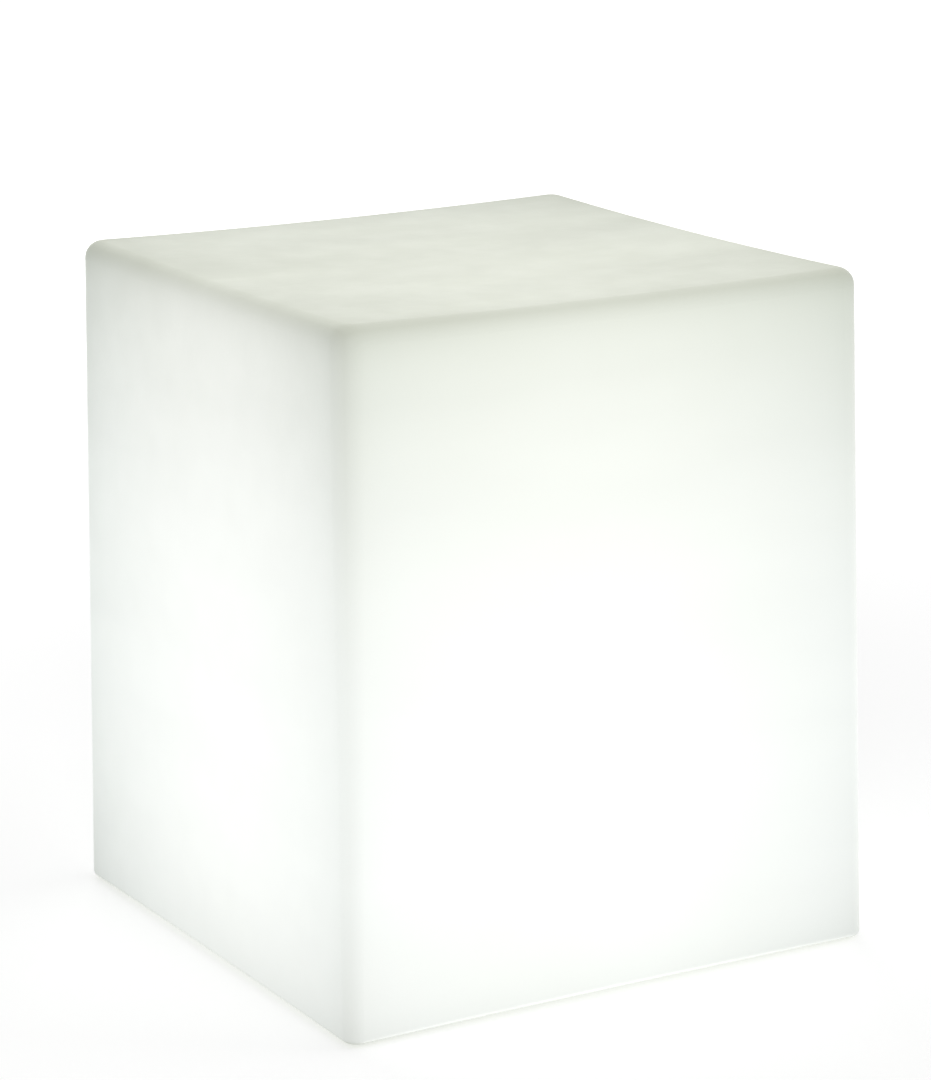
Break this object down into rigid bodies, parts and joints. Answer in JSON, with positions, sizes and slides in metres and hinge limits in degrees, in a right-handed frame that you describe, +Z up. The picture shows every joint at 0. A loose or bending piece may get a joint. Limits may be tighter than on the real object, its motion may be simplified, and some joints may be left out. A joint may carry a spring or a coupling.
{
  "type": "led cube light",
  "caption": "Seat-height glowing cube light: hollow moulded white shell with dished top, and a screwed-in battery LED module with push switch and capped charging socket underneath.",
  "frame": {"origin": "middle of the footprint, on the floor under the rubber feet", "axes": "+Z up through the middle of the top; -Y out of the wide wall that faces the picture's camera; +X to that wall's right"},
  "size_m": [0.3998, 0.3998, 0.4653],
  "materials": {
    "white_polyethylene": "rotationally moulded, fine satin grain, lit from inside",
    "black_rubber": "matt moulded",
    "grey_silicone": "matt die-cut sheet",
    "white_abs": "injection moulded, fine spark-eroded grain",
    "grey_abs": "injection moulded, satin",
    "black_nylon": "injection moulded, satin",
    "natural_nylon": "injection moulded",
    "brass": "turned",
    "stainless_steel": "passivated",
    "aluminium_sheet": "rolled sheet",
    "white_board": "white solder mask",
    "green_board": "green solder mask",
    "led_phosphor": "silicone over phosphor",
    "black_epoxy": "moulded epoxy",
    "frosted_polycarbonate": "frosted",
    "cell_sleeve": "shrink sleeve over steel cans",
    "nickel_strip": "rolled nickel",
    "clear_acrylic": "polished",
    "lead_jacket": "extruded jacket"
  },
  "bodies": {
    "light": {"battery_cells": "cell_sleeve", "battery_clamp": "stainless_steel", "battery_cradle": "black_nylon", "battery_lead": "lead_jacket", "board_screws": "stainless_steel", "breather_plug": "black_nylon", "button_spring": "stainless_steel", "cell_links": "nickel_strip", "charge_lamp": "clear_acrylic", "charge_socket": "black_nylon", "clamp_screws": "stainless_steel", "control_board": "green_board", "control_chips": "black_epoxy", "control_screws": "stainless_steel", "diffuser_dome": "frosted_polycarbonate", "dome_gasket": "grey_silicone", "dome_screws": "stainless_steel", "heat_plate": "aluminium_sheet", "hinge_pin": "stainless_steel", "lead_grommet": "grey_silicone", "lead_plugs": "natural_nylon", "led_board": "white_board", "led_chips": "led_phosphor", "led_lead": "lead_jacket", "light_shell": "white_polyethylene", "module_gasket": "grey_silicone", "module_housing": "white_abs", "module_screws": "stainless_steel", "rubber_feet": "black_rubber", "socket_nut": "black_nylon", "socket_pin": "brass", "switch_body": "black_nylon", "switch_nut": "black_nylon", "threaded_inserts": "brass"},
    "power_button": {"power_button": "grey_abs"},
    "socket_cap": {"socket_cap": "black_rubber"}
  },
  "joints": [
    {"name": "button_press", "type": "slide", "parent": "light", "child": "power_button", "axis": [0, 0, 1], "range_m": [0, 0.0015], "stiffness_N_per_m": 600, "springref_m": -0.002, "deforming": ["button_spring"]},
    {"name": "cap_hinge", "type": "hinge", "parent": "light", "child": "socket_cap", "pos_m": [0.03, -0.036, 0.0171], "axis": [0, -1, 0], "range_deg": [0, 110]}
  ]
}
